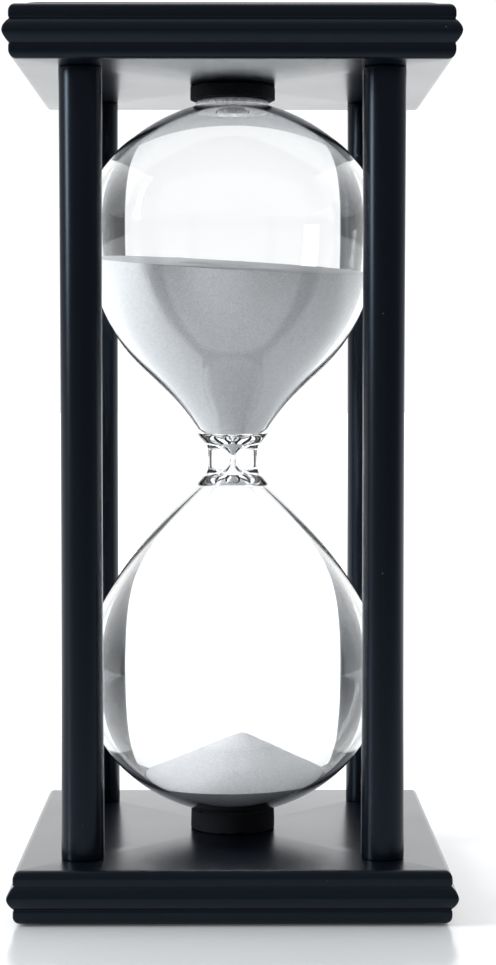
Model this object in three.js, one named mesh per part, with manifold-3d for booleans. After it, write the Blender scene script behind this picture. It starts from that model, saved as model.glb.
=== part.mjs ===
// A thirty-minute sand glass in a black lacquered wooden frame.
//
// Two moulded square plates are held apart by four turned posts, each drawn up by a countersunk wood
// screw through either plate. The glass is one blown piece: two bulbs joined by a thick neck with a
// fine bore. It stands between two rubber cushions. Sand lies in both bulbs, a plug with a flat head
// closes the hole the sand was poured through, and a felt sheet on each plate's outer face hides the
// screw heads.
//
// Millimetres, +Z up. The origin is the centre of the lower felt's underside; the front faces -Y.

import * as THREE from "three";
import { mergeVertices } from "three/addons/utils/BufferGeometryUtils.js";
import Module from "manifold-3d";

const wasm = await Module();
wasm.setup();

// ---- driving dimensions ----

// glass: heights are measured from the middle of the neck
const bulbLength = 83.7; // from the middle of the neck to either crown
const glassWall = 1.5;
const crownRadius = 7.5; // flat end of a bulb, where it meets its cushion
const upperBulb = {
  radius: 34.4, // at the widest place
  widestAt: 57, // height of the widest place above the neck
  flankAngle: 31, // degrees between the flank and the axis, where it leaves the shoulder
  flankReach: 0.37, // how far the flank keeps that angle, as a share of its height
  bellyReach: 0.62, // how long the flank runs upright under the widest place, likewise
  domeReach: 0.69, // the same above it, as a share of the dome's height
};
const lowerBulb = {
  radius: 35.7,
  widestAt: 51,
  flankAngle: 46,
  flankReach: 0.19,
  bellyReach: 0.41,
  domeReach: 0.79,
};
const crownReach = 2.5; // how far the dome runs level beside the crown

// neck
const neckRadius = 6.0;
const neckWaistHalf = 1.9; // half the length of the straight waist
const shoulderRadius = 8.5; // where the neck's fillet meets a bulb's flank
const shoulderHeight = 5.9;
const boreRadius = 0.55;
const boreHalf = 1.0; // half the length of the fine bore
const funnelRadius = 2.9;
const funnelHeight = 4.5;

// fill hole and plug
const fillHoleRadius = 4.0;
const plugLength = 2.2; // of the stem, below the crown
const plugChamfer = 0.5; // at its inner end
const plugHeadRadius = 8.7; // the head lies between the crown and the top cushion
const plugHeadHeight = 1.1;
const plugHeadBevel = 0.5;

// sand
const sandLevel = 46.1; // upper sand's surface on the axis, above the neck, before the crater
const sandTilt = 5.7; // degrees
const sandLowSide = -54; // where it lies lowest: degrees round from +X, so towards the front right
const craterRadius = 13;
const craterDepth = 5;
const heapPeak = 17.9; // peak of the lower heap above the lower crown
const heapOffset = 2.2; // the peak's offset towards +X
const heapSlope = 26; // degrees, on average round the heap
const heapTilt = 1.5; // degrees; steeper towards +X

// cushions
const cushionRadius = 10.1;
const topCushionThickness = 3.3;
const bottomCushionThickness = 4.8;
const cushionEdge = 0.6; // rounding of its rims

// posts
const postRadius = 4.85; // at the ends
const postWaistRadius = 4.65; // half-way up
const postEdge = 0.3; // chamfer at the ends
const bulbToPost = 7.15; // clear space between the wider bulb and a post

// plates
const plateThickness = 11.9;
const postInset = 14.5; // from a post's axis to the plate's edge
const beadHeight = 5.2; // the round moulding half-way up the plate's edge
const beadDepth = 1.3; // how far it stands out
const beadFullness = 1.25; // 1 is a plain half wave, 2 has hollow flanks
const cornerHeight = 1.9; // rounding above and below
const cornerDepth = 1.6;

// screws
const screwLength = 30;
const screwRadius = 1.75;
const screwCoreRadius = 1.25;
const screwHeadRadius = 3.5;
const screwHeadHeight = 2.2;
const screwHeadLand = 0.3; // upright rim of the head
const screwRecessRadius = 1.1; // drive recess in the head
const screwRecessDepth = 1.1;
const screwRecessFloor = 0.4; // radius
const screwHeadSunk = 0.4; // below the plate's outer face
const screwTip = 4; // length of the pointed end
const threadPitch = 2.4;

// felt
const feltThickness = 0.4;
const feltInset = 2.5; // from the plate's edge
const feltCorner = 4;

// gaps between pieces that are cut to fit each other
const sandGap = 0.3;
const plugGap = 0.3;
const screwGap = 0.3;

// ---- derived places ----

const glassLength = 2 * bulbLength;
const postLength = bottomCushionThickness + glassLength + plugHeadHeight + topCushionThickness;
const bottomPlateZ = feltThickness; // the plate's underside
const floorZ = bottomPlateZ + plateThickness; // the bottom plate's top face
const ceilingZ = floorZ + postLength; // the top plate's underside
const topPlateZ = ceilingZ + plateThickness; // the top plate's outer face
const neckZ = floorZ + bottomCushionThickness + bulbLength;
const widerBulb = Math.max(upperBulb.radius, lowerBulb.radius);
const postPlace = (widerBulb + bulbToPost + postRadius) / Math.SQRT2; // from the axis, in X and in Y
const plateHalf = postPlace + postInset; // half the plate's width, without the bead

// ---- facets ----

const glassSides = 36;
const postSides = 20;
const smallSides = 16;
const screwSides = 12;
const flankSteps = 7;
const domeSteps = 7;
const postSteps = 8;
const beadSteps = 8;
const cornerSteps = 4;

// ---- helpers ----

const rad = THREE.MathUtils.degToRad;
const at = (r, z) => new THREE.Vector2(r, z);

const materials = {
  lacquer: new THREE.MeshStandardMaterial({ color: 0x14181f, roughness: 0.3 }),
  glass: new THREE.MeshStandardMaterial({ color: 0xf2f6f7, roughness: 0.05, transparent: true, opacity: 0.35 }),
  sand: new THREE.MeshStandardMaterial({ color: 0xe6e9ee, roughness: 0.9 }),
  rubber: new THREE.MeshStandardMaterial({ color: 0x101216, roughness: 0.85 }),
  felt: new THREE.MeshStandardMaterial({ color: 0x15161a, roughness: 1.0 }),
  steel: new THREE.MeshStandardMaterial({ color: 0xa9acb0, roughness: 0.35, metalness: 1.0 }),
  plug: new THREE.MeshStandardMaterial({ color: 0xe9e7e2, roughness: 0.6 }),
};

// A profile of (radius, height) points turned about the Z axis. It runs up the outside.
function turned(profile, sides, phiStart = 0) {
  return new THREE.LatheGeometry(profile, sides, phiStart).rotateX(Math.PI / 2);
}

function toSolid(geometry) {
  const bare = geometry.clone();
  for (const name of ["normal", "uv"]) bare.deleteAttribute(name);
  const merged = mergeVertices(bare, 1e-4);
  return new wasm.Manifold(
    new wasm.Mesh({
      numProp: 3,
      vertProperties: new Float32Array(merged.attributes.position.array),
      triVerts: new Uint32Array(merged.index.array),
    }),
  );
}

function toGeometry(solid) {
  const mesh = solid.getMesh();
  const geometry = new THREE.BufferGeometry();
  geometry.setAttribute("position", new THREE.BufferAttribute(mesh.vertProperties, 3));
  geometry.setIndex(new THREE.BufferAttribute(mesh.triVerts, 1));
  geometry.computeVertexNormals();
  return geometry;
}

const hourglass = new THREE.Group();

function addPiece(name, geometry, material, [x, y, z] = [0, 0, 0], parent = hourglass) {
  const mesh = new THREE.Mesh(geometry, material.clone());
  mesh.name = name;
  mesh.position.set(x, y, z);
  parent.add(mesh);
  return mesh;
}

// ---- glass ----

// One bulb's outside from its shoulder to its crown, moved inwards by depth. Each point keeps the
// curve's own normal, so a wall or a gap has the same thickness everywhere.
function bulbOutline(bulb, depth = 0) {
  const slope = rad(bulb.flankAngle);
  const flankHeight = bulb.widestAt - shoulderHeight;
  const domeHeight = bulbLength - bulb.widestAt;
  const flankRun = flankHeight * bulb.flankReach;
  const flank = new THREE.CubicBezierCurve(
    at(shoulderRadius, shoulderHeight),
    at(shoulderRadius + flankRun * Math.sin(slope), shoulderHeight + flankRun * Math.cos(slope)),
    at(bulb.radius, bulb.widestAt - flankHeight * bulb.bellyReach),
    at(bulb.radius, bulb.widestAt),
  );
  const dome = new THREE.CubicBezierCurve(
    at(bulb.radius, bulb.widestAt),
    at(bulb.radius, bulb.widestAt + domeHeight * bulb.domeReach),
    at(crownRadius + crownReach, bulbLength),
    at(crownRadius, bulbLength),
  );
  const outline = [];
  for (const [curve, steps] of [[flank, flankSteps], [dome, domeSteps]]) {
    for (let i = outline.length ? 1 : 0; i <= steps; i++) {
      const point = curve.getPoint(i / steps);
      const along = curve.getTangent(i / steps);
      outline.push(at(point.x - depth * along.y, point.y + depth * along.x));
    }
  }
  outline[outline.length - 1].y = bulbLength - depth;
  return outline;
}

// The hollow of one bulb from the bore to its crown, moved inwards by gap: bore, funnel, bowl, wall.
function hollowOutline(bulb, gap = 0) {
  const wall = bulbOutline(bulb, glassWall + gap);
  const lip = at(funnelRadius - gap, funnelHeight + gap);
  const bowl = new THREE.QuadraticBezierCurve(lip, at(wall[0].x - glassWall, lip.y), wall[0]);
  return [
    at(boreRadius - gap, boreHalf + gap),
    at((boreRadius + funnelRadius) / 2 - gap, (boreHalf + funnelHeight) / 2),
    ...bowl.getPoints(3),
    ...wall.slice(1),
  ];
}

const mirrored = (points) => points.map((p) => at(p.x, -p.y)).reverse();

function glassGeometry() {
  const shoulder = new THREE.QuadraticBezierCurve(
    at(neckRadius, neckWaistHalf),
    at(neckRadius, (neckWaistHalf + shoulderHeight) / 2),
    at(shoulderRadius, shoulderHeight),
  ).getPoints(3);
  const outside = (bulb) => [...shoulder.slice(0, -1), ...bulbOutline(bulb)];
  return turned(
    [
      at(0, -bulbLength),
      ...mirrored(outside(lowerBulb)),
      ...outside(upperBulb),
      at(fillHoleRadius, bulbLength),
      at(fillHoleRadius, bulbLength - glassWall),
      ...hollowOutline(upperBulb).reverse(),
      ...mirrored(hollowOutline(lowerBulb)).reverse(),
      at(0, glassWall - bulbLength),
    ],
    glassSides,
  );
}

function plugGeometry() {
  const radius = fillHoleRadius - plugGap;
  return turned(
    [
      at(0, -plugLength),
      at(radius - plugChamfer, -plugLength),
      at(radius, plugChamfer - plugLength),
      at(radius, 0),
      at(plugHeadRadius, 0),
      at(plugHeadRadius, plugHeadHeight - plugHeadBevel),
      at(plugHeadRadius - plugHeadBevel, plugHeadHeight),
      at(0, plugHeadHeight),
    ],
    glassSides,
  );
}

// ---- sand ----

// Everything that one bulb could hold, from the funnel to the crown.
function fillSolid(bulb) {
  const outline = hollowOutline(bulb, sandGap);
  const top = outline[outline.length - 1];
  return toSolid(turned([at(0, outline[0].y), ...outline, at(0, top.y)], glassSides));
}

// The upper sand has a shallow crater over the neck and lies lower on one side.
function upperSandGeometry() {
  const below = -2 * sandLevel;
  const reach = 2 * widerBulb;
  const surface = turned(
    [at(0, below), at(reach, below), at(reach, 0), at(craterRadius, 0), at(0, -craterDepth)],
    glassSides,
  );
  surface.rotateY(rad(sandTilt)).rotateZ(rad(sandLowSide)).translate(0, 0, sandLevel);
  return toGeometry(fillSolid(upperBulb).intersect(toSolid(surface)));
}

// The lower sand is a cone under the neck, over the rounded end of its bulb.
function lowerSandGeometry() {
  const reach = 2 * widerBulb;
  const below = -2 * reach;
  const surface = turned(
    [at(0, below), at(reach, below), at(reach, -reach * Math.tan(rad(heapSlope))), at(0, 0)],
    glassSides,
  );
  surface.rotateY(rad(heapTilt)).translate(heapOffset, 0, heapPeak - bulbLength);
  const fill = toSolid(toGeometry(fillSolid(lowerBulb)).rotateX(Math.PI));
  return toGeometry(fill.intersect(toSolid(surface)));
}

// ---- frame ----

// The plate's edge from its underside to its top: a rounded corner, a flat, a bead, a flat and a corner.
function plateOutline() {
  const half = plateThickness / 2;
  const corner = new THREE.EllipseCurve(
    plateHalf - cornerDepth, half - cornerHeight, cornerDepth, cornerHeight, 0, Math.PI / 2,
  ).getPoints(cornerSteps);
  const bead = [];
  for (let i = 1; i < beadSteps; i++) {
    const z = beadHeight * (i / beadSteps - 0.5);
    bead.push(at(plateHalf + beadDepth * Math.cos((Math.PI * z) / beadHeight) ** beadFullness, z));
  }
  const flatEnd = at(plateHalf, beadHeight / 2);
  return [...mirrored([flatEnd, ...corner]), ...bead, flatEnd, ...corner];
}

// The space a screw needs in a plate, pointing down from the plate's outer face at z = 0.
function screwHole() {
  const shank = screwRadius + screwGap;
  const head = screwHeadRadius + screwGap;
  const sunk = screwHeadSunk + screwGap;
  return toSolid(
    turned(
      [
        at(0, -plateThickness - 1),
        at(shank, -plateThickness - 1),
        at(shank, -screwHeadSunk - screwHeadHeight - screwGap),
        at(head, -sunk),
        at(head, 1),
        at(0, 1),
      ],
      smallSides,
    ),
  );
}

// A plate with its outer face up. Four sides of a turned profile are a mitred square.
function plateGeometry() {
  const outline = plateOutline().map((p) => at(p.x * Math.SQRT2, p.y));
  const half = plateThickness / 2;
  let plate = toSolid(turned([at(0, -half), ...outline, at(0, half)], 4, Math.PI / 4));
  const hole = screwHole();
  for (const { x, y } of corners) {
    plate = plate.subtract(hole.translate([x * postPlace, y * postPlace, half]));
  }
  return toGeometry(plate);
}

// A post with a blind pilot hole in each end. Its sides draw in a little half-way up.
function postGeometry() {
  const half = postLength / 2;
  const hole = screwRadius + screwGap;
  const reach = screwLength - (plateThickness - screwHeadSunk) + screwGap; // depth of the pilot hole
  const outside = [];
  for (let i = 0; i <= postSteps; i++) {
    const z = (half - postEdge) * ((2 * i) / postSteps - 1);
    const draw = (postRadius - postWaistRadius) * (1 - (z / half) ** 2);
    outside.push(at(postRadius - draw, z));
  }
  const end = [at(postRadius - postEdge, half), at(hole, half), at(hole, half - reach + screwTip), at(0, half - reach)];
  return turned([...mirrored(end), ...outside, ...end], postSides);
}

// A countersunk wood screw, head up, with the head's flat at z = 0.
function screwGeometry() {
  const threadStart = -screwLength + screwTip;
  const plain = 2 * threadPitch; // shank left without a thread
  const turns = Math.floor((screwLength - screwHeadHeight - screwTip - plain) / threadPitch);
  const thread = [];
  for (let i = 0; i < turns; i++) {
    const z = threadStart + i * threadPitch;
    thread.push(at(screwCoreRadius, z), at(screwRadius, z + threadPitch / 2));
  }
  const shankStart = threadStart + turns * threadPitch;
  return turned(
    [
      at(0, -screwLength),
      ...thread,
      at(screwCoreRadius, shankStart),
      at(screwCoreRadius, -screwHeadHeight),
      at(screwHeadRadius, -screwHeadLand),
      at(screwHeadRadius, 0),
      at(screwRecessRadius, 0),
      at(screwRecessFloor, -screwRecessDepth),
      at(0, -screwRecessDepth),
    ],
    screwSides,
  );
}

function cushionGeometry(thickness) {
  const rim = new THREE.EllipseCurve(
    cushionRadius - cushionEdge, thickness / 2 - cushionEdge, cushionEdge, cushionEdge, 0, Math.PI / 2,
  ).getPoints(2);
  return turned([at(0, -thickness / 2), ...mirrored(rim), ...rim, at(0, thickness / 2)], glassSides);
}

function feltGeometry() {
  const half = plateHalf - feltInset;
  const sheet = new THREE.Shape();
  const arcs = [[1, -1, 3], [1, 1, 0], [-1, 1, 1], [-1, -1, 2]];
  for (const [x, y, quarter] of arcs) {
    const start = (quarter * Math.PI) / 2;
    sheet.absarc(x * (half - feltCorner), y * (half - feltCorner), feltCorner, start, start + Math.PI / 2);
  }
  return new THREE.ExtrudeGeometry(sheet, { depth: feltThickness, bevelEnabled: false, curveSegments: 4 });
}

// ---- assembly ----

const corners = [
  { name: "front_left", x: -1, y: -1 },
  { name: "front_right", x: 1, y: -1 },
  { name: "back_left", x: -1, y: 1 },
  { name: "back_right", x: 1, y: 1 },
];

// Both ends of the frame are alike: the bottom one is built outer face up and turned over.
const ends = [
  { name: "top", z: topPlateZ, turn: 0 },
  { name: "bottom", z: bottomPlateZ, turn: Math.PI },
];
for (const end of ends) {
  const group = new THREE.Group();
  group.position.z = end.z;
  group.rotation.x = end.turn;
  hourglass.add(group);
  addPiece(`${end.name}_plate`, plateGeometry(), materials.lacquer, [0, 0, -plateThickness / 2], group);
  addPiece(`${end.name}_felt`, feltGeometry(), materials.felt, [0, 0, 0], group);
  for (const { name, x, y } of corners) {
    const flip = end.turn ? -1 : 1;
    const place = [x * postPlace, flip * y * postPlace, -screwHeadSunk];
    addPiece(`${end.name}_screw_${name}`, screwGeometry(), materials.steel, place, group);
  }
}

for (const { name, x, y } of corners) {
  const place = [x * postPlace, y * postPlace, floorZ + postLength / 2];
  addPiece(`post_${name}`, postGeometry(), materials.lacquer, place);
}

addPiece("bottom_cushion", cushionGeometry(bottomCushionThickness), materials.rubber,
  [0, 0, floorZ + bottomCushionThickness / 2]);
addPiece("top_cushion", cushionGeometry(topCushionThickness), materials.rubber,
  [0, 0, ceilingZ - topCushionThickness / 2]);

addPiece("glass_bulbs", glassGeometry(), materials.glass, [0, 0, neckZ]);
addPiece("fill_plug", plugGeometry(), materials.plug, [0, 0, neckZ + bulbLength]);
addPiece("upper_sand", upperSandGeometry(), materials.sand, [0, 0, neckZ]);
addPiece("lower_sand", lowerSandGeometry(), materials.sand, [0, 0, neckZ]);

export default hourglass;
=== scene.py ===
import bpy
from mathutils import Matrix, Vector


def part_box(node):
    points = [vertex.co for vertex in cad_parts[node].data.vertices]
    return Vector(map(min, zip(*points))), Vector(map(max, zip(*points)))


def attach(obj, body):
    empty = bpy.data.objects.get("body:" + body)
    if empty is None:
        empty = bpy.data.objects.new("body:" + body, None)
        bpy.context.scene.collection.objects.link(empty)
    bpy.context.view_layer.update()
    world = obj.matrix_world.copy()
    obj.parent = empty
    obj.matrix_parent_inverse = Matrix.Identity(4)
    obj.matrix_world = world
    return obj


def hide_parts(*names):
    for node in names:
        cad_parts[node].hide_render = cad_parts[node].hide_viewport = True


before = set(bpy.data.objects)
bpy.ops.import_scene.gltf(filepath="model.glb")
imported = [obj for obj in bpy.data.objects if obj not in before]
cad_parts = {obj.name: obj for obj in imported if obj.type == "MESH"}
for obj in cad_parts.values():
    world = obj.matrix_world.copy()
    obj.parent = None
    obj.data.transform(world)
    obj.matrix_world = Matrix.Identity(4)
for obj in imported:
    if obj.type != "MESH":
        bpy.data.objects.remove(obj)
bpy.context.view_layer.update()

import math
import bpy
import numpy as np

mm = 0.001
scene = bpy.context.scene
blackFrame = ("top_plate", "bottom_plate", "post_front_left", "post_front_right",
              "post_back_left", "post_back_right")
print("frame loaded:", len(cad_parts), "nodes")


# points[j, i] is step j of a profile at step i round the piece. The first and last step shrink to one
# point each.
def gridPiece(name, points, smoothBelow=40):
    sides = points.shape[1]
    here = np.arange((len(points) - 2) * sides).reshape(-1, sides)
    beside = np.roll(here, -1, axis=1)
    quads = np.stack([here[:-1], beside[:-1], beside[1:], here[1:]], axis=-1).reshape(-1, 4)
    spots = points[1:-1].reshape(-1, 3)
    first = np.full(sides, len(spots))
    fans = np.vstack([
        np.stack([first, beside[0], here[0]], axis=-1),
        np.stack([first + 1, here[-1], beside[-1]], axis=-1),
    ])
    spots = np.vstack([spots, points[0].mean(axis=0), points[-1].mean(axis=0)])
    a, b, c = (spots[quads[:, k]] for k in (0, 1, 2))
    outward = np.einsum("ij,ij->i", spots[quads[:, 0]], np.cross(b - a, c - a)).sum() > 0
    faces = quads.tolist() + fans.tolist()
    if not outward:
        faces = [face[::-1] for face in faces]
    mesh = bpy.data.meshes.new(name)
    mesh.from_pydata(spots.tolist(), [], faces)
    mesh.shade_smooth()
    mesh.set_sharp_from_angle(angle=math.radians(smoothBelow))
    piece = bpy.data.objects.new(name, mesh)
    scene.collection.objects.link(piece)
    return piece


def roundAngles(sides):
    return np.arange(sides) * (2 * np.pi / sides)


# A profile of (radius, height) rows turned about an upright axis.
def turned(name, profile, sides, centre=(0.0, 0.0), smoothBelow=40):
    profile = np.asarray(profile, float)
    angle = roundAngles(sides)
    x = centre[0] + profile[:, :1] * np.cos(angle)
    y = centre[1] + profile[:, :1] * np.sin(angle)
    z = np.repeat(profile[:, 1:], sides, axis=1)
    return gridPiece(name, np.stack([x, y, z], axis=-1), smoothBelow)


# Cubic Bezier curve: the points, and its unit tangents.
def bezier(p0, p1, p2, p3, steps):
    t = np.linspace(0, 1, steps + 1)[:, None]
    p0, p1, p2, p3 = (np.array(p, float) for p in (p0, p1, p2, p3))
    spots = (1 - t) ** 3 * p0 + 3 * (1 - t) ** 2 * t * p1 + 3 * (1 - t) * t ** 2 * p2 + t ** 3 * p3
    along = (1 - t) ** 2 * (p1 - p0) + 2 * (1 - t) * t * (p2 - p1) + t ** 2 * (p3 - p2)
    return spots, along / np.linalg.norm(along, axis=1, keepdims=True)


# Even steps along a polyline.
def evenly(spots, count):
    run = np.r_[0, np.cumsum(np.linalg.norm(np.diff(spots, axis=0), axis=1))]
    want = np.linspace(0, run[-1], count)
    return np.stack([np.interp(want, run, spots[:, k]) for k in (0, 1)], axis=-1)


# Smooth random heights between -1 and 1 at points (..., 3): a sum of sine waves in random directions,
# each about one feature size long.
def ripples(spots, feature, seed, waves=14):
    pick = np.random.default_rng(seed)
    way = pick.normal(size=(waves, 3))
    way *= pick.uniform(0.6, 1.5, (waves, 1)) / np.linalg.norm(way, axis=1, keepdims=True)
    turn = 2 * np.pi * (spots @ way.T) / feature + pick.uniform(0, 2 * np.pi, waves)
    return np.sin(turn).sum(axis=-1) / math.sqrt(waves)


def ready(piece, slotName, *nodes):
    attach(piece, "root")
    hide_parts(*nodes)
    return piece


# A value on its way through a node tree. Arithmetic on it adds Math nodes.
class Wire:
    def __init__(self, shade, socket):
        self.shade, self.socket = shade, socket

    def math(self, operation, a, b):
        return self.shade.make("Math", {"operation": operation}, {0: a, 1: b})

    def __add__(self, other):
        return self.math("ADD", self, other)

    def __sub__(self, other):
        return self.math("SUBTRACT", self, other)

    def __rsub__(self, other):
        return self.math("SUBTRACT", other, self)

    def __mul__(self, other):
        return self.math("MULTIPLY", self, other)

    def __gt__(self, other):
        return self.math("GREATER_THAN", self, other)

    def __lt__(self, other):
        return self.math("LESS_THAN", self, other)

    __radd__ = __add__
    __rmul__ = __mul__


# One node tree. make() adds any node: its type, its settings, what its sockets get, and which output
# comes back as a wire.
class Shade:
    def __init__(self, owner):
        owner.use_nodes = True
        self.tree = owner.node_tree
        self.tree.nodes.clear()

    def make(self, kind, settings=None, inputs=None, out=0):
        node = self.tree.nodes.new("ShaderNode" + kind)
        for name, value in (settings or {}).items():
            setattr(node, name, value)
        for name, value in (inputs or {}).items():
            if isinstance(value, Wire):
                self.tree.links.new(value.socket, node.inputs[name])
            else:
                node.inputs[name].default_value = value
        return Wire(self, node.outputs[out]) if len(node.outputs) else node

    def place(self):
        return self.make("TexCoord", out="Object")

    def noise(self, scale, detail=3.0):
        return self.make("TexNoise", {}, {"Vector": self.place(), "Scale": scale, "Detail": detail})

    # Each cell's random number between 0 and 1, and the distance to its centre.
    def cells(self, scale):
        cell = {"Vector": self.place(), "Scale": scale}
        lot = self.make("SeparateColor", {}, {0: self.make("TexVoronoi", {}, cell, out="Color")})
        return lot, self.make("TexVoronoi", {}, cell, out="Distance")

    # Colour a where share is 0, and b where it is 1.
    def blend(self, share, a, b):
        a, b = (tone if isinstance(tone, Wire) else (*tone, 1) for tone in (a, b))
        return self.make("Mix", {"data_type": "RGBA"}, {0: share, 6: a, 7: b}, out=2)

    # From 0 to 1 as value goes from low to high.
    def rise(self, value, low, high):
        return self.make("MapRange", {"interpolation_type": "SMOOTHSTEP"},
                         {"Value": value, "From Min": low, "From Max": high})

    def bump(self, height, depth, strength=1.0):
        return self.make("Bump", {}, {"Height": height, "Distance": depth, "Strength": strength})

    def skin(self, inputs):
        return self.make("BsdfPrincipled", {}, inputs)

    def finish(self, shader, kind="Material"):
        self.make("Output" + kind, {}, {"Surface": shader})


def newMaterial(name):
    material = bpy.data.materials.new(name)
    return material, Shade(material)


def paint(piece, material):
    piece.data.materials.clear()
    piece.data.materials.append(material)


studio = {
    "eye": (0.44 * mm, -528.6 * mm, 121.17 * mm),  # height above the base plate's underside
    "tilt": -2.862,  # degrees
    "pan": -0.348,
    "lens": 82.7,
    "backdrop": 1.1,  # white seen directly, and through the glass where that bends it little
    "backdropLift": 0.7,  # how far height makes up for a bend to the side
    "backdropSpread": (0.45, 0.85),
    "backLight": 1.25,  # the bright part of the room straight behind
    "backSpread": (0.0, 0.8),
    "sideLight": 0.42,
    "highBoost": 1.6,  # how much brighter the sides and back are high up
    "highSpread": (0.25, 0.7),
    "sideSpread": (-0.35, 0.3),
    "frontLight": 0.36,  # not from low down in front
    "frontSpread": (-0.08, 0.14),
    "aim": 100 * mm,  # height the lamps point at
    # azimuth in degrees round from +X, degrees of rise, metres away, size, watts, tone
    "lamps": {
        "key": (197, 28, 1.0, (0.26, 0.85), 9.4, (0.95, 0.98, 1.0)),
        "top": (90, 75, 1.3, (1.6, 1.2), 0.5, (0.97, 0.98, 1.0)),
    },
    "floorHalf": 6.0,
    "floorTones": ((0.36, 0.365, 0.37), (0.75, 0.765, 0.78)),  # far in front, and round the base
    "floorShine": (0.16, 0.06),  # roughness, and how much it varies
    "floorGrain": 40.0,
    "glowTone": (0.96, 0.985, 1),
    "nearGlow": 0.05,
    "nearSpread": (-420 * mm, -75 * mm),
    "farGlow": 0.6,
    "farSpread": (20 * mm, 270 * mm),
}


# A rectangle of light on a sphere round the point it faces.
def areaLight(name, azimuth, rise, away, size, power, tone):
    lamp = bpy.data.lights.new(name, "AREA")
    lamp.shape, lamp.size, lamp.size_y = "RECTANGLE", size[0], size[1]
    lamp.energy, lamp.color = power, tone
    thing = bpy.data.objects.new(name, lamp)
    scene.collection.objects.link(thing)
    turn, lift = math.radians(azimuth), math.radians(rise)
    reach = away * math.cos(lift)
    height = studio["aim"] + away * math.sin(lift)
    thing.location = (reach * math.cos(turn), reach * math.sin(turn), height)
    thing.rotation_euler = (math.pi / 2 - lift, 0.0, turn + math.pi / 2)
    thing.visible_camera = False


def makeCamera(values):
    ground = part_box("bottom_plate")[0].z
    lens = bpy.data.cameras.new("camera")
    lens.lens = values["lens"]
    camera = bpy.data.objects.new("camera", lens)
    x, y, z = values["eye"]
    camera.location = (x, y, z + ground)
    camera.rotation_euler = (math.radians(90 + values["tilt"]), 0.0, math.radians(values["pan"]))
    scene.collection.objects.link(camera)
    scene.camera = camera


# White where it is seen directly. What lights the object is brightest straight behind, dimmer beside and
# dimmest in front, each with a soft edge on the direction's x, y and z.
def makeRoom(values):
    world = bpy.data.worlds.new("studio")
    scene.world = world
    sky = Shade(world)
    way = sky.make("TexCoord", out="Generated")
    across, deep, high = (sky.make("SeparateXYZ", {}, {0: way}, out=axis) for axis in "XYZ")
    behind = sky.rise(deep - across.math("ABSOLUTE", across, 0.0), *values["backSpread"])
    beside = sky.rise(deep, *values["sideSpread"])
    above = sky.rise(high, *values["frontSpread"]) * (1 - beside)
    boost = 1 + sky.rise(high, *values["highSpread"]) * values["highBoost"]
    lifted = beside * values["sideLight"] * boost
    light = lifted + behind * values["backLight"] + above * values["frontLight"]
    seen = sky.make("LightPath", out="Is Camera Ray")
    through = sky.make("LightPath", out="Is Transmission Ray")
    facing = sky.rise(deep + high * values["backdropLift"], *values["backdropSpread"])
    plain = seen.math("MAXIMUM", seen, through * facing)
    strength = plain * values["backdrop"] + (1 - plain) * light
    sky.finish(sky.make("Background", {}, {"Color": (1, 1, 1, 1), "Strength": strength}), "World")


# One pale square, which glows softly behind the object.
def makeFloor(values):
    half = values["floorHalf"]
    mesh = bpy.data.meshes.new("floor")
    mesh.from_pydata([(-half, -half, 0), (half, -half, 0), (half, half, 0), (-half, half, 0)], [],
                     [(0, 1, 2, 3)])
    floor = bpy.data.objects.new("floor", mesh)
    scene.collection.objects.link(floor)
    material, shade = newMaterial("floor")
    depth = shade.make("SeparateXYZ", {}, {0: shade.place()}, out="Y")
    near = shade.rise(depth, *values["nearSpread"])
    far = shade.rise(depth, *values["farSpread"])
    glow = near * values["nearGlow"] + far * values["farGlow"]
    rough, varies = values["floorShine"]
    shade.finish(shade.skin({
        "Base Color": shade.blend(near, *values["floorTones"]),
        "Roughness": rough + shade.noise(values["floorGrain"]) * varies,
        "IOR": 1.5,
        "Emission Color": shade.blend(glow, (0, 0, 0), values["glowTone"]),
        "Emission Strength": 1.0,
    }))
    paint(floor, material)


makeCamera(studio)
makeRoom(studio)
for name, setting in studio["lamps"].items():
    areaLight(name, *setting)
makeFloor(studio)
scene.view_settings.view_transform = "Standard"
print("studio ready")


lacquer = {
    "tone": (0.0018, 0.0028, 0.0062),
    "roughness": 0.25,
    "ior": 1.38,
    "sheen": (0.62, 0.8, 1.0, 1),
    "peel": 0.0012 * mm,  # height of the orange peel
    "peelScale": 420.0,
    "cloudScale": 38.0,
    "dustScale": 240.0,
    "dustSize": 0.045,  # share of a cell
    "dustLot": 0.86,  # only cells whose random number is above this hold a speck
    "dustTone": (0.25, 0.27, 0.3),
    "dustStrength": 0.2,
}


def lacquerMaterial(values):
    material, shade = newMaterial("lacquer")
    peel = shade.noise(values["peelScale"], 2.0)
    cloud = shade.noise(values["cloudScale"], 4.0)
    lot, middle = shade.cells(values["dustScale"])
    dust = (middle < values["dustSize"]) * (lot > values["dustLot"])
    shade.finish(shade.skin({
        "Base Color": shade.blend(dust * values["dustStrength"], values["tone"], values["dustTone"]),
        "Roughness": values["roughness"] + (cloud - 0.5) * 0.08 + dust * 0.4,
        "IOR": values["ior"],
        "Specular Tint": values["sheen"],
        "Normal": shade.bump(peel, values["peel"]),
    }))
    return material


blackLacquer = lacquerMaterial(lacquer)

plate = {
    "beadHeight": 5.2 * mm,
    "beadDepth": 1.3 * mm,
    "beadFullness": 1.15,
    "cornerHeight": 1.9 * mm,
    "cornerDepth": 1.6 * mm,
    "groove": 0.16 * mm,  # shallow valley on either side of the bead
    "grooveWidth": 0.35 * mm,
    "mitre": 0.35 * mm,  # rounding of the plate's upright corners
    "mitreSteps": 6,
    "sideSteps": 24,
    "smoothBelow": 28,  # degrees
    "shank": 2.05 * mm,  # screw holes
    "head": 3.8 * mm,
    "headSunk": 0.7 * mm,
    "headDepth": 2.9 * mm,
}


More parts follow.
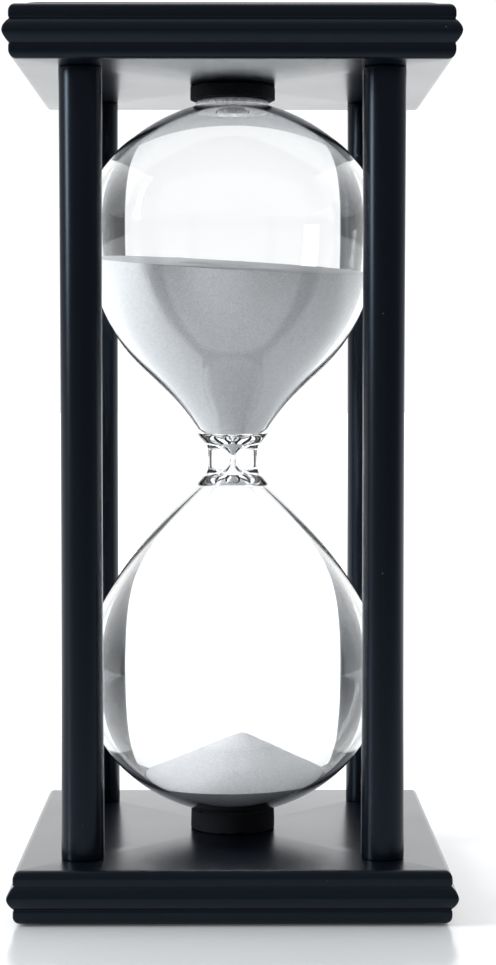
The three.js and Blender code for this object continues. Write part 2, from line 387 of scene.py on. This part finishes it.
# A square ring with slightly rounded corners: core places the corner centres, out points away from
# them, so half a width w away the ring is core * (w - r) + out * r.
def squareRing(values):
    turn = np.linspace(-np.pi / 4, np.pi / 4, values["mitreSteps"] + 1)
    share = np.linspace(-1, 1, values["sideSteps"] + 2)[1:-1]
    cores, outs = [], []
    for quarter in range(4):
        facing = quarter * np.pi / 2
        spin = np.array([[np.cos(facing), np.sin(facing)], [-np.sin(facing), np.cos(facing)]])
        cores += [np.stack([np.ones_like(share), share], axis=-1) @ spin, np.ones((len(turn), 2)) @ spin]
        sideOut = np.tile([1.0, 0.0], (len(share), 1))
        cornerOut = np.stack([np.cos(turn + np.pi / 4), np.sin(turn + np.pi / 4)], axis=-1)
        outs += [sideOut @ spin, cornerOut @ spin]
    return np.vstack(cores), np.vstack(outs)


# Edge profile from bottom to top: a quarter ellipse, a flat, a bead that is a power of a cosine between
# two shallow grooves, a flat and a quarter ellipse.
def plateProfile(values, width, thick):
    middle = thick / 2
    arc = np.linspace(0, np.pi / 2, 10)
    cornerZ = middle - values["cornerHeight"]
    corner = np.stack([width - values["cornerDepth"] * (1 - np.cos(arc)),
                       cornerZ + values["cornerHeight"] * np.sin(arc)], axis=-1)
    z = np.linspace(-cornerZ, cornerZ, 61)[1:-1]
    turn = np.clip(abs(z) / values["beadHeight"], 0, 0.5)
    bead = np.cos(np.pi * turn) ** values["beadFullness"]
    valley = np.exp(-((abs(z) - values["beadHeight"] / 2) / values["grooveWidth"]) ** 2)
    edge = np.stack([width + values["beadDepth"] * bead - values["groove"] * valley, z], axis=-1)
    below = corner[::-1] * (1, -1)
    return np.vstack([[0, -middle], below, edge, corner, [0, middle]])


# The edge profile carried round the square ring, closed in the middle above and below.
def makePlate(name, values):
    low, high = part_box(name)
    thick = high.z - low.z
    width = high.x - values["beadDepth"]
    profile = plateProfile(values, width, thick)
    core, out = squareRing(values)
    reach = profile[:, 0][:, None, None]
    ring = core * np.maximum(reach - values["mitre"], 0) + out * np.minimum(values["mitre"], reach)
    z = np.repeat(profile[:, 1:] + (low.z + high.z) / 2, len(core), axis=1)
    piece = gridPiece(name + "_lacquered", np.dstack([ring, z]))
    drill(piece, name.replace("plate", "screw"), low.z, high.z, values)
    paint(piece, blackLacquer)
    return ready(piece, "lacquer", name)


# Cuts a countersunk hole for each screw whose name starts with prefix.
def drill(piece, prefix, bottom, top, values):
    cutters = []
    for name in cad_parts:
        if not name.startswith(prefix):
            continue
        low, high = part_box(name)
        outer, inner, side = (top, bottom, 1) if name.startswith("top") else (bottom, top, -1)
        neck = outer - side * values["headDepth"]
        below, beyond = inner - side * mm, outer + side * mm
        shank, head = values["shank"], values["head"]
        profile = [[0, below], [shank, below], [shank, neck], [head, outer - side * values["headSunk"]],
                   [head, beyond], [0, beyond]]
        centre = ((low.x + high.x) / 2, (low.y + high.y) / 2)
        cutter = turned("cutter", profile, 48, centre)
        cut = piece.modifiers.new(name, "BOOLEAN")
        cut.operation, cut.solver, cut.object = "DIFFERENCE", "EXACT", cutter
        cutters.append(cutter)
    graph = bpy.context.evaluated_depsgraph_get()
    piece.data = bpy.data.meshes.new_from_object(piece.evaluated_get(graph))
    piece.modifiers.clear()
    for cutter in cutters:
        bpy.data.objects.remove(cutter)
    piece.data.shade_smooth()
    piece.data.set_sharp_from_angle(angle=math.radians(values["smoothBelow"]))


post = {
    "waist": 0.2 * mm,  # how far the sides draw in half-way up
    "edge": 0.3 * mm,
    "holeRadius": 2.05 * mm,
    "holeDepth": 19.0 * mm,
    "sides": 72,
}


# Sides draw in by a parabola towards the middle; each end has a rounded edge and a blind pilot hole.
def makePost(name, values):
    low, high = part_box(name)
    half = (high.z - low.z) / 2
    middle = (high.z + low.z) / 2
    radius = (high.x - low.x) / 2
    arc = np.linspace(0, np.pi / 2, 6)
    edge = values["edge"]
    z = np.linspace(0, half - edge, 60)
    side = np.stack([radius - values["waist"] * (1 - (z / half) ** 2), z], axis=-1)
    rim = np.stack([radius - edge * (1 - np.cos(arc)), half - edge * (1 - np.sin(arc))], axis=-1)[1:]
    hole = [[values["holeRadius"], half], [values["holeRadius"], half - values["holeDepth"]],
            [0, half - values["holeDepth"] - values["holeRadius"]]]
    upper = np.vstack([side, rim, hole])
    profile = np.vstack([upper[::-1] * (1, -1), upper[1:]]) + (0, middle)
    centre = ((low.x + high.x) / 2, (low.y + high.y) / 2)
    piece = turned(name + "_lacquered", profile, values["sides"], centre)
    paint(piece, blackLacquer)
    return ready(piece, "lacquer", name)


for name in blackFrame:
    if "plate" in name:
        makePlate(name, plate)
    else:
        makePost(name, post)
print("frame lacquered")


glass = {
    "wall": 1.5 * mm,
    "crown": 7.5 * mm,
    "crownReach": 2.5 * mm,
    "shoulder": (8.5 * mm, 5.9 * mm),
    "neck": (6.0 * mm, 1.9 * mm),  # radius and half length of the waist
    "bore": (0.55 * mm, 1.0 * mm),
    "funnel": (2.9 * mm, 4.5 * mm),
    # how far each curve's handles reach: (outwards, upwards)
    "neckHandle": (0, 1.6 * mm),
    "shoulderHandle": (1.1 * mm, 1.7 * mm),
    "boreHandle": (0.25 * mm, 1.2 * mm),
    "lipHandle": (0.5 * mm, 1.0 * mm),
    "bowlHandle": (1.0 * mm, 0.5 * mm),
    "wallHandle": (0.9 * mm, 0.9 * mm),
    "fillHole": 4.0 * mm,
    "sides": 192,
    "waveScale": 42.0,
    "wave": 0.06 * mm,
    "smearScale": 130.0,
    "upper": {"radius": 34.4 * mm, "widest": 57 * mm, "angle": 31,
              "flank": 0.37, "belly": 0.62, "dome": 0.69},
    "lower": {"radius": 35.7 * mm, "widest": 51 * mm, "angle": 46,
              "flank": 0.19, "belly": 0.41, "dome": 0.79},
}
glassLow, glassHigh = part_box("glass_bulbs")
bulbLength = (glassHigh.z - glassLow.z) / 2
neckZ = (glassHigh.z + glassLow.z) / 2


# One bulb from shoulder to crown: two cubic curves, each point moved inwards along its own normal.
def bulbOutline(values, bulb, depth=0.0, steps=46):
    slope = math.radians(bulb["angle"])
    startR, startZ = values["shoulder"]
    rise = bulb["widest"] - startZ
    run = rise * bulb["flank"]
    wide = bulb["radius"]
    up = (bulbLength - bulb["widest"]) * bulb["dome"]
    flank = bezier((startR, startZ), (startR + run * math.sin(slope), startZ + run * math.cos(slope)),
                   (wide, bulb["widest"] - rise * bulb["belly"]), (wide, bulb["widest"]), steps)
    dome = bezier((wide, bulb["widest"]), (wide, bulb["widest"] + up),
                  (values["crown"] + values["crownReach"], bulbLength), (values["crown"], bulbLength),
                  steps)
    spots = np.vstack([flank[0], dome[0][1:]])
    along = np.vstack([flank[1], dome[1][1:]])
    return spots + depth * np.stack([-along[:, 1], along[:, 0]], axis=-1)


# Bore, funnel and bowl of one bulb, then the wall's inside up to the crown, all moved in by gap.
def hollowOutline(values, bulb, gap=0.0):
    wall = bulbOutline(values, bulb, values["wall"] + gap)
    boreR, boreZ = values["bore"]
    lipR, lipZ = values["funnel"]
    boreOut, boreUp = values["boreHandle"]
    lipOut, lipUp = values["lipHandle"]
    bowlOut, bowlUp = values["bowlHandle"]
    tube = bezier((boreR - gap, boreZ), (boreR - gap + boreOut, boreZ + boreUp),
                  (lipR - gap - lipOut, lipZ - lipUp), (lipR - gap, lipZ + gap), 14)[0]
    bowl = bezier((lipR - gap, lipZ + gap), (lipR - gap + bowlOut, lipZ + gap + bowlUp),
                  wall[0] - np.array(values["wallHandle"]), wall[0], 14)[0]
    return np.vstack([tube, bowl[1:], wall[1:]])


# The same outline upside down.
def flipped(outline):
    return outline[::-1] * (1, -1)


# Outside from the lower crown to the fill hole, then the inside back down, turned about the axis.
def makeGlass(values):
    neckR, neckHalf = values["neck"]
    startR, startZ = values["shoulder"]
    neckOut, neckUp = values["neckHandle"]
    startOut, startUp = values["shoulderHandle"]
    fillet = bezier((neckR, neckHalf), (neckR + neckOut, neckHalf + neckUp),
                    (startR - startOut, startZ - startUp), (startR, startZ), 12)[0]
    outer, inner = {}, {}
    for key in ("upper", "lower"):
        outer[key] = np.vstack([fillet, bulbOutline(values, values[key])[1:]])
        inner[key] = hollowOutline(values, values[key])
    hole = values["fillHole"]
    wall = values["wall"]
    profile = np.vstack([
        [0, -bulbLength], flipped(outer["lower"]), outer["upper"],
        [hole, bulbLength], [hole, bulbLength - wall], inner["upper"][::-1],
        flipped(inner["lower"])[::-1], [0, wall - bulbLength],
    ])
    piece = turned("blown_glass", profile + (0, neckZ), values["sides"], smoothBelow=50)
    paint(piece, clearGlass(values))
    return ready(piece, "glass", "glass_bulbs")


# Shadow and diffuse rays pass straight through, so the sand inside is lit.
def clearGlass(values):
    material, shade = newMaterial("clear_glass")
    wave = shade.noise(values["waveScale"], 1.0)
    smear = shade.noise(values["smearScale"], 4.0)
    body = shade.skin({
        "Base Color": (0.985, 0.992, 0.996, 1),
        "Roughness": shade.rise(smear, 0.55, 0.8) * 0.03,
        "IOR": 1.5,
        "Transmission Weight": 1.0,
        "Normal": shade.bump(wave, values["wave"], 0.5),
    })
    clear = shade.make("BsdfTransparent")
    lamp = shade.make("LightPath", out="Is Shadow Ray")
    soft = shade.make("LightPath", out="Is Diffuse Ray")
    body = shade.make("MixShader", {}, {0: soft, 1: body, 2: clear})
    shade.finish(shade.make("MixShader", {}, {0: lamp, 1: body, 2: clear}))
    return material


makeGlass(glass)
print("glass blown")


sand = {
    "gap": 0.12 * mm,
    "sides": 220,
    "wallSteps": 150,
    "topSteps": 110,
    "searchSteps": 700,  # along the glass, to find where the top meets it
    "searchFrom": 40,
    "level": 46.1 * mm,  # of the upper sand, above the middle of the neck
    "tilt": 5.7,  # degrees
    "lowSide": -54,  # degrees round from +X
    "craterRadius": 13 * mm,
    "craterDepth": 5 * mm,
    "craterFullness": 1.15,
    "peak": 17.9 * mm,  # of the heap, above the lower crown
    "peakX": 2.2 * mm,
    "slope": 26,
    "lean": 1.5,
    "tip": 1.3 * mm,  # rounding of the heap's tip
    "ripples": ((0.9 * mm, 5, 0.035 * mm), (5 * mm, 9, 0.07 * mm)),  # size, seed and height of each
    "grainScale": 4200.0,
    "grain": 0.06 * mm,
    "grainTones": ((0.62, 0.63, 0.65), (0.78, 0.79, 0.81)),
    "patchScale": 160.0,
    "patchTone": (0.7, 0.71, 0.73),
}


# A body of sand: up the wall from the axis to where the wall meets the top surface, then in over the
# top. wall is (radius, height) from the axis outwards, top gives a height at each radius and angle.
def sandPiece(name, wall, top, values):
    angle = roundAngles(values["sides"])
    wall = evenly(wall, values["searchSteps"])
    above = wall[:, 1:] - top(wall[:, :1], angle[None, :])
    above[:values["searchFrom"]] = -1.0
    last = np.argmax(above > 0, axis=0)
    column = np.arange(values["sides"])
    over, under = above[last, column], above[last - 1, column]
    meet = last - over / (over - under)
    share = np.linspace(0, 1, values["wallSteps"])[:, None] * meet
    index = np.arange(len(wall))
    wallR = np.interp(share, index, wall[:, 0])
    wallZ = np.interp(share, index, wall[:, 1])
    inward = (1 - np.linspace(0, 1, values["topSteps"] + 1))[1:, None]
    topR = wallR[-1] * inward
    radius = np.vstack([wallR, topR])
    height = np.vstack([wallZ, top(topR, angle[None, :])])
    spots = np.stack([radius * np.cos(angle), radius * np.sin(angle), height], axis=-1)
    rough = sum(ripples(spots, feature, seed) * tall for feature, seed, tall in values["ripples"])
    spots[values["wallSteps"]:, :, 2] += rough[values["wallSteps"]:]
    spots[..., 2] += neckZ
    piece = gridPiece(name, spots, smoothBelow=70)
    paint(piece, paleSand)
    return piece


def sandMaterial(values):
    material, shade = newMaterial("pale_sand")
    tone, edge = shade.cells(values["grainScale"])
    patch = shade.noise(values["patchScale"], 4.0)
    base = shade.blend(tone, *values["grainTones"])
    shade.finish(shade.skin({
        "Base Color": shade.blend(shade.rise(patch, 0.35, 0.7) * 0.3, base, values["patchTone"]),
        "Roughness": 0.95 - tone * 0.3,
        "IOR": 1.45,
        "Normal": shade.bump(edge, values["grain"], 0.35),
    }))
    return material


paleSand = sandMaterial(sand)


# A tilted plane less a hollow, whose depth is a power of one minus the share of its radius.
def upperTop(r, angle):
    lean = math.tan(math.radians(sand["tilt"])) * r * np.cos(angle - math.radians(sand["lowSide"]))
    inside = np.clip(1 - r / sand["craterRadius"], 0, 1)
    return sand["level"] - lean - sand["craterDepth"] * inside ** sand["craterFullness"]


# A cone with a rounded tip beside the axis, which leans a little to one side.
def lowerTop(r, angle):
    x, y = r * np.cos(angle) - sand["peakX"], r * np.sin(angle)
    away = np.sqrt(x * x + y * y + sand["tip"] ** 2) - sand["tip"]
    drop = math.tan(math.radians(sand["slope"])) * away + math.tan(math.radians(sand["lean"])) * x
    return sand["peak"] - bulbLength - drop


upperWall = hollowOutline(glass, glass["upper"], sand["gap"])
upperWall = np.vstack([[0, upperWall[0, 1]], upperWall])
lowerWall = np.vstack([hollowOutline(glass, glass["lower"], sand["gap"]),
                       [0, bulbLength - glass["wall"] - sand["gap"]]])
ready(sandPiece("sand_above", upperWall, upperTop, sand), "sand", "upper_sand")
ready(sandPiece("sand_below", flipped(lowerWall), lowerTop, sand), "sand", "lower_sand")
print("sand poured")


cushion = {
    "edge": 0.3 * mm,
    "sides": 160,
    "wobble": 0.12 * mm,
    "wobbleSize": 9 * mm,
    "tear": 0.28 * mm,
    "tearSize": 3.5 * mm,
    "tearWidth": 1.2 * mm,
    "seeds": {"top_cushion": 21, "bottom_cushion": 34},
    "fill": 0.95,
    "tones": ((0.0015, 0.002, 0.0035), (0.006, 0.007, 0.011)),
    "poreScale": 1900.0,
    "pore": 0.09 * mm,
    "cloudScale": 260.0,
}


# A disc whose radius and rim wander a little round it by random waves, as knife-cut rubber does.
def makeCushion(name, values):
    low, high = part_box(name)
    half = (high.z - low.z) / 2
    radius = (high.x - low.x) / 2 - values["wobble"]
    edge = values["edge"]
    arc = np.linspace(0, np.pi / 2, 8)
    rim = np.stack([radius - edge * (1 - np.cos(arc)), half - edge * (1 - np.sin(arc))], axis=-1)
    side = np.stack([np.full(14, radius), np.linspace(-(half - edge), half - edge, 14)], axis=-1)
    flat = np.stack([np.linspace(radius - edge, 0, 12)[1:], np.full(11, half)], axis=-1)
    profile = np.vstack([flipped(np.vstack([rim, flat])), side[1:-1], rim, flat])
    angle = roundAngles(values["sides"])
    x, y = profile[:, :1] * np.cos(angle), profile[:, :1] * np.sin(angle)
    z = np.repeat(profile[:, 1:], len(angle), axis=1)
    spots = np.stack([x, y, z], axis=-1)
    share = profile[:, :1] / radius
    seed = values["seeds"][name]
    swell = 1 + (ripples(spots, values["wobbleSize"], seed) * values["wobble"] / radius) * share ** 2
    spots[..., :2] *= swell[..., None]
    nearRim = np.exp(-((profile[:, :1] - radius) / values["tearWidth"]) ** 2)
    nearTop = np.clip(abs(profile[:, 1:]) / half, 0, 1) ** 4
    torn = np.abs(ripples(spots, values["tearSize"], seed + 3)) * values["tear"] * nearRim * nearTop
    spots[..., 2] -= torn * np.sign(profile[:, 1:])
    spots[..., 2] += (low.z + high.z) / 2
    piece = gridPiece(name + "_rubber", spots, smoothBelow=60)
    paint(piece, cushionRubber)
    return ready(piece, "cushion", name)


def rubberMaterial(values):
    material, shade = newMaterial("cellular_rubber")
    pores = shade.noise(values["poreScale"], 3.0)
    cloud = shade.noise(values["cloudScale"], 4.0)
    shade.finish(shade.skin({
        "Base Color": shade.blend(cloud, *values["tones"]),
        "Roughness": 0.72 + pores * 0.2,
        "Specular IOR Level": 0.25,
        "Normal": shade.bump(pores, values["pore"], 0.8),
    }))
    return material


cushionRubber = rubberMaterial(cushion)
for name in cushion["seeds"]:
    makeCushion(name, cushion)
print("cushions cut")


felt = {
    "corner": 4 * mm,
    "edge": 0.15 * mm,
    "cornerSteps": 10,
    "sideSteps": 30,
    "tones": ((0.006, 0.006, 0.008), (0.03, 0.031, 0.035)),
    "fibreScale": 2600.0,
    "fibre": 0.12 * mm,
    "tuftScale": 420.0,
}


def feltMaterial(values):
    material, shade = newMaterial("black_felt")
    fibre = shade.noise(values["fibreScale"], 6.0)
    tuft = shade.noise(values["tuftScale"], 3.0)
    shade.finish(shade.skin({
        "Base Color": shade.blend(fibre, *values["tones"]),
        "Roughness": 0.9 + tuft * 0.1,
        "Sheen Weight": 0.3,
        "Normal": shade.bump(fibre, values["fibre"], 0.8),
    }))
    return material


# A thin sheet whose rim is a quarter ellipse, carried round a square ring with round corners.
def makeFelt(name, values):
    low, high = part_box(name)
    half = (high.z - low.z) / 2
    width = high.x
    arc = np.linspace(0, np.pi / 2, 5)
    rim = np.stack([width - values["edge"] * (1 - np.cos(arc)),
                    half - values["edge"] * (1 - np.sin(arc))], axis=-1)
    reach = np.linspace(width - values["edge"], 0, 30)[1:]
    flat = np.stack([reach, np.full(len(reach), half)], axis=-1)
    upper = np.vstack([rim, flat])
    profile = np.vstack([flipped(upper), upper])
    core, out = squareRing({"mitreSteps": values["cornerSteps"], "sideSteps": values["sideSteps"]})
    corner = np.minimum(values["corner"], profile[:, :1])[..., None]
    ring = core * (profile[:, :1, None] - corner) + out * corner
    z = np.repeat(profile[:, 1:] + (low.z + high.z) / 2, len(core), axis=1)
    piece = gridPiece(name + "_sheet", np.dstack([ring, z]), smoothBelow=60)
    paint(piece, blackFelt)
    ready(piece, "felt", name)
    return piece


blackFelt = feltMaterial(felt)
for name in ("top_felt", "bottom_felt"):
    makeFelt(name, felt)
print("felts laid")


plug = {
    "stem": 3.7 * mm,
    "chamfer": 0.5 * mm,
    "headHeight": 1.1 * mm,
    "headRound": (1.1 * mm, 0.9 * mm),
    "sides": 120,
    "tones": ((0.78, 0.75, 0.8), (0.9, 0.88, 0.91)),
    "glowDepth": 2.0 * mm,  # how deep light wanders in the resin
    "cloudScale": 600.0,
}


def resinMaterial(values):
    material, shade = newMaterial("pale_resin")
    cloud = shade.noise(values["cloudScale"], 4.0)
    shade.finish(shade.skin({
        "Base Color": shade.blend(cloud, *values["tones"]),
        "Roughness": 0.2 + cloud * 0.15,
        "IOR": 1.45,
        "Subsurface Weight": 0.6,
        "Subsurface Radius": (values["glowDepth"],) * 3,
        "Subsurface Scale": 1.0,
        "Transmission Weight": 0.35,
        "Normal": shade.bump(cloud, 0.03 * mm, 0.5),
    }))
    return material


# A stem in the fill hole under a flat head whose upper edge is a quarter ellipse.
def makePlug(name, values):
    low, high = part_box(name)
    stem, chamfer = values["stem"], values["chamfer"]
    under = high.z - values["headHeight"]
    wide, tall = values["headRound"]
    arc = np.linspace(0, np.pi / 2, 12)
    head = np.stack([high.x - wide * (1 - np.cos(arc)), high.z - tall * (1 - np.sin(arc))], axis=-1)
    profile = np.vstack([[0, low.z], [stem - chamfer, low.z], [stem, low.z + chamfer], [stem, under],
                         [high.x, under], head, [0, high.z]])
    piece = turned("resin_plug", profile, values["sides"], smoothBelow=50)
    paint(piece, resinMaterial(values))
    return ready(piece, "plug", name)


screw = {
    "core": 1.25 * mm,
    "thread": 0.5 * mm,  # height of its ridge
    "pitch": 2.4 * mm,
    "plain": 4.8 * mm,  # shank without a thread, under the head
    "tip": 4.0 * mm,
    "head": 2.2 * mm,
    "land": 0.3 * mm,
    "drive": (0.75 * mm, 1.1 * mm),  # radius between the arms of the cross, and how far they reach beyond
    "driveDepth": 1.1 * mm,
    "sides": 48,
    "steps": 130,
    "tones": ((0.42, 0.43, 0.45), (0.66, 0.66, 0.67)),
    "cloudScale": 900.0,
}


def steelMaterial(values):
    material, shade = newMaterial("zinc_steel")
    cloud = shade.noise(values["cloudScale"], 4.0)
    shade.finish(shade.skin({
        "Base Color": shade.blend(cloud, *values["tones"]),
        "Metallic": 1.0,
        "Roughness": 0.25 + cloud * 0.2,
        "Normal": shade.bump(cloud, 0.01 * mm, 0.5),
    }))
    return material


# Shank radius is the core's plus a ridge: a triangle wave of height / pitch minus the turn, fading out
# towards the tip and the head. The drive is a cross whose arms are a high power of |cos 2a|.
def makeScrew(name, values):
    low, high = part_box(name)
    length = high.z - low.z
    shank = length - values["head"]
    turn = roundAngles(values["sides"])
    z = np.linspace(0, shank, values["steps"])[:, None]
    ridge = 1 - abs(2 * ((z / values["pitch"] - turn / (2 * np.pi)) % 1) - 1)
    taper = np.clip(z / values["tip"], 0, 1)
    fade = taper * np.clip((shank - values["plain"] - z) / values["pitch"], 0, 1)
    body = values["core"] * taper + values["thread"] * ridge * fade
    between, arm = values["drive"]
    cross = between + arm * abs(np.cos(2 * turn)) ** 8
    wide = np.full_like(turn, (high.x - low.x) / 2)
    radius = np.vstack([body, wide, wide, cross, cross * 0.5, cross * 0])
    depth = values["driveDepth"]
    tail = [length - values["land"], length, length, length - depth, length - depth]
    height = np.r_[z[:, 0], tail][:, None] - length / 2
    side = 1 if name.startswith("top") else -1
    spots = np.stack([
        radius * np.cos(turn) + (low.x + high.x) / 2,
        radius * np.sin(turn) * side + (low.y + high.y) / 2,
        np.repeat(height, len(turn), axis=1) * side + (low.z + high.z) / 2,
    ], axis=-1)
    piece = gridPiece(name + "_threaded", spots, smoothBelow=35)
    paint(piece, zincSteel)
    return ready(piece, "screw", name)


makePlug("fill_plug", plug)
zincSteel = steelMaterial(screw)
for name in sorted(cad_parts):
    if "screw" in name:
        makeScrew(name, screw)
print("small parts done")
